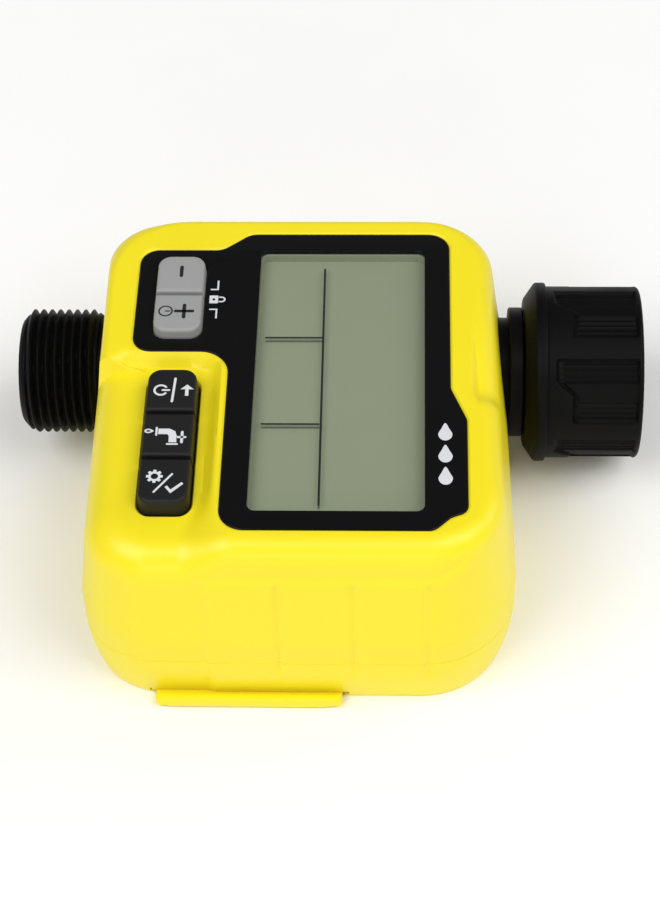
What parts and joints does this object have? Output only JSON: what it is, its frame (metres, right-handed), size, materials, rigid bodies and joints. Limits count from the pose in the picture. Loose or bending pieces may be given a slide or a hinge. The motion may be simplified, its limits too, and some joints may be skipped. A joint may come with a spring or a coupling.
{
  "type": "drip irrigation timer",
  "caption": "Battery-powered tap timer: two-part housing with display and keys over a motorised ball valve, swivel inlet nut one end, threaded outlet the other.",
  "frame": {"origin": "centre of the bounding box at the height of the flat back, on which the timer lies", "axes": "+Z is the way the display faces, +X runs along the water way to the inlet nut, -Y is the side where the battery cover slides out"},
  "size_m": [0.1312, 0.0974, 0.0478],
  "materials": {
    "yellow_abs": "moulded ABS, satin gloss",
    "black_plastic": "moulded, fine matt",
    "black_gloss_panel": "polished",
    "grey_key_rubber": "matt",
    "black_key_rubber": "matt",
    "clear_window": "polished",
    "lcd_glass": "smooth",
    "white_plastic": "moulded",
    "black_rubber": "matt",
    "circuit_board": "solder mask",
    "steel": "bright",
    "brass": "machined",
    "cell_sleeve": "printed sleeve",
    "lead_red": "insulated"
  },
  "bodies": {
    "housing": {"front_shell": "yellow_abs", "rear_shell": "yellow_abs", "inlet_spigot": "black_plastic", "outlet_spigot": "black_plastic", "valve_body": "black_plastic", "gear_case": "black_plastic", "gear_cover": "black_plastic", "shell_screw_1": "steel", "shell_screw_2": "steel", "shell_screw_3": "steel", "shell_screw_4": "steel", "board_screw_1": "steel", "board_screw_2": "steel", "swivel_clip": "steel", "gear_pin_1": "steel", "gear_pin_2": "steel", "drive_motor": "steel", "battery_spring_1": "steel", "battery_spring_2": "steel", "contact_bridge": "steel", "contact_plate_1": "steel", "contact_plate_2": "steel", "zebra_strip_1": "black_rubber", "zebra_strip_2": "black_rubber", "key_mat_1": "black_rubber", "key_mat_2": "black_rubber", "inlet_neck_seal": "black_rubber", "outlet_neck_seal": "black_rubber", "controller_chip": "black_rubber", "inlet_washer": "black_rubber", "stem_seal": "black_rubber", "inlet_o_ring": "black_rubber", "outlet_o_ring": "black_rubber", "lcd_frame": "white_plastic", "ball_seat_1": "white_plastic", "ball_seat_2": "white_plastic", "inlet_filter": "white_plastic", "display_panel": "black_gloss_panel", "display_lens": "clear_window", "lcd_glass": "lcd_glass", "main_board": "circuit_board", "battery_1": "cell_sleeve", "battery_2": "cell_sleeve", "motor_lead_1": "lead_red", "motor_lead_2": "lead_red", "battery_lead_1": "lead_red", "battery_lead_2": "lead_red"},
    "cover": {"battery_cover": "yellow_abs"},
    "nut": {"inlet_nut": "black_plastic"},
    "minus": {"minus_key": "grey_key_rubber"},
    "plus": {"plus_key": "grey_key_rubber"},
    "off": {"off_key": "black_key_rubber"},
    "manual": {"manual_key": "black_key_rubber"},
    "ok": {"ok_key": "black_key_rubber"},
    "valve": {"valve_ball": "steel", "valve_stem": "steel", "output_gear": "white_plastic"},
    "second_gear_body": {"second_gear": "white_plastic"},
    "first_gear_body": {"first_gear": "white_plastic"},
    "pinion_body": {"motor_pinion": "brass"}
  },
  "joints": [
    {"name": "battery_cover_slide", "type": "slide", "parent": "housing", "child": "cover", "axis": [0, -1, 0], "range_m": [0, 0.062]},
    {"name": "nut_spin", "type": "hinge", "parent": "housing", "child": "nut", "pos_m": [0.0534, 0.02425, 0.021], "axis": [1, 0, 0], "continuous": true},
    {"name": "minus_key_press", "type": "slide", "parent": "housing", "child": "minus", "axis": [0, 0, -1], "range_m": [0, 0.0009], "stiffness_N_per_m": 2000},
    {"name": "plus_key_press", "type": "slide", "parent": "housing", "child": "plus", "axis": [0, 0, -1], "range_m": [0, 0.0009], "stiffness_N_per_m": 2000},
    {"name": "off_key_press", "type": "slide", "parent": "housing", "child": "off", "axis": [0, 0, -1], "range_m": [0, 0.0009], "stiffness_N_per_m": 2000},
    {"name": "manual_key_press", "type": "slide", "parent": "housing", "child": "manual", "axis": [0, 0, -1], "range_m": [0, 0.0009], "stiffness_N_per_m": 2000},
    {"name": "ok_key_press", "type": "slide", "parent": "housing", "child": "ok", "axis": [0, 0, -1], "range_m": [0, 0.0009], "stiffness_N_per_m": 2000},
    {"name": "valve_turn", "type": "hinge", "parent": "housing", "child": "valve", "pos_m": [0.012, 0, 0.021], "axis": [0, 1, 0], "range_deg": [0, 90]},
    {"name": "second_gear_spin", "type": "hinge", "parent": "housing", "child": "second_gear_body", "pos_m": [0.0198, 0, 0.01234], "axis": [0, 1, 0], "range_deg": [-330, 6]},
    {"name": "first_gear_spin", "type": "hinge", "parent": "housing", "child": "first_gear_body", "pos_m": [0.02456, 0, 0.0213], "axis": [0, 1, 0], "range_deg": [-6, 990]},
    {"name": "pinion_spin", "type": "hinge", "parent": "housing", "child": "pinion_body", "pos_m": [0.01441, 0, 0.0213], "axis": [0, 1, 0], "range_deg": [-2970, 20]}
  ],
  "couplings": [
    {"joint": "second_gear_spin", "follows": "valve_turn", "ratio": -3.6},
    {"joint": "first_gear_spin", "follows": "valve_turn", "ratio": 10.8},
    {"joint": "pinion_spin", "follows": "valve_turn", "ratio": -32.4}
  ]
}
